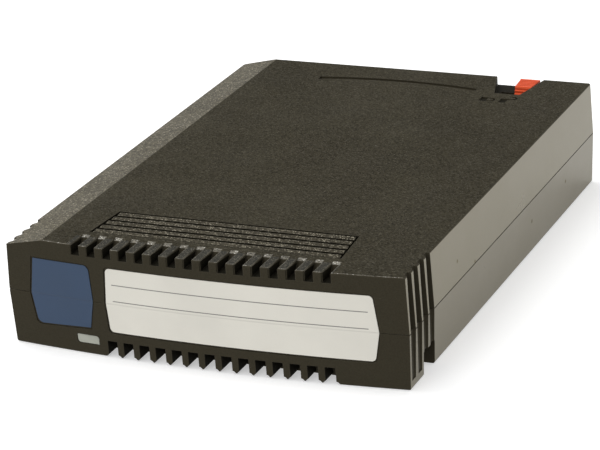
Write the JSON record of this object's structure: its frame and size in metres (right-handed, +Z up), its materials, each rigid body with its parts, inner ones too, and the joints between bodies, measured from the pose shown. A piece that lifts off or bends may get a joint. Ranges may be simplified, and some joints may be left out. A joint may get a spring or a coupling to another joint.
{
  "type": "removable disk cartridge",
  "caption": "Removable disk cartridge: a two-part moulded housing with finger slots, side grips and a write-protect slider, holding a small disk drive in rubber mounts.",
  "frame": {"origin": "under the middle of the cartridge, on the surface it rests on", "axes": "+Y from the labelled front to the connector at the rear, +Z up, +X to the right seen from the front"},
  "size_m": [0.0864, 0.119, 0.0235],
  "materials": {
    "shell_plastic": "finely grained moulded plastic, dark warm grey",
    "capacity_face": "printed film label, plain blue",
    "note_paper": "satin label paper with two ruled lines",
    "clear_lens": "frosted clear moulding",
    "slider_plastic": "orange moulded plastic",
    "mount_rubber": "soft black rubber",
    "cast_alloy": "cast and machined alloy",
    "pressed_steel": "pressed steel sheet",
    "gasket_rubber": "thin foam rubber",
    "screw_steel": "small machine screws",
    "disk_mirror": "polished disk coating",
    "machined_alloy": "turned alloy",
    "plated_magnet": "plated magnet steel",
    "coil_copper": "enamelled copper wire",
    "head_ceramic": "sintered slider ceramic",
    "ramp_plastic": "natural moulded plastic",
    "board_laminate": "green circuit laminate",
    "chip_plastic": "black moulding compound",
    "connector_plastic": "black connector moulding",
    "contact_gold": "gold plated contacts"
  },
  "bodies": {
    "housing": {"top_shell": "shell_plastic", "bottom_shell": "shell_plastic", "capacity_label": "capacity_face", "write_on_label": "note_paper", "light_pipe": "clear_lens", "corner_mount_front_left": "mount_rubber", "corner_mount_front_right": "mount_rubber", "corner_mount_rear_left": "mount_rubber", "corner_mount_rear_right": "mount_rubber", "drive_base": "cast_alloy", "cover_gasket": "gasket_rubber", "drive_cover": "pressed_steel", "cover_screws": "screw_steel", "board_screws": "screw_steel", "spindle_motor": "pressed_steel", "pivot_post": "pressed_steel", "load_ramp": "ramp_plastic", "lower_magnet_plate": "plated_magnet", "upper_magnet_plate": "plated_magnet", "drive_board": "board_laminate", "drive_board_chips": "chip_plastic", "drive_connector": "connector_plastic", "drive_connector_contacts": "contact_gold", "drive_socket": "connector_plastic", "interface_board": "board_laminate", "rear_connector": "connector_plastic", "rear_connector_contacts": "contact_gold"},
    "slider": {"write_protect_slider": "slider_plastic"},
    "disk_pack": {"spindle_hub": "machined_alloy", "lower_platter": "disk_mirror", "platter_spacer": "machined_alloy", "upper_platter": "disk_mirror", "disc_clamp": "pressed_steel", "clamp_screw": "screw_steel"},
    "actuator": {"actuator_arm": "machined_alloy", "voice_coil": "coil_copper", "head_sliders": "head_ceramic"}
  },
  "joints": [
    {"name": "slider_slide", "type": "slide", "parent": "housing", "child": "slider", "axis": [-1, 0, 0], "range_m": [0, 0.0044]},
    {"name": "disk_spin", "type": "hinge", "parent": "housing", "child": "disk_pack", "pos_m": [0, -0.01707, 0.0118], "axis": [0, 0, 1], "continuous": true},
    {"name": "actuator_swing", "type": "hinge", "parent": "housing", "child": "actuator", "pos_m": [0.014, 0.02092, 0.0118], "axis": [0, 0, 1], "range_deg": [0, 35]}
  ]
}
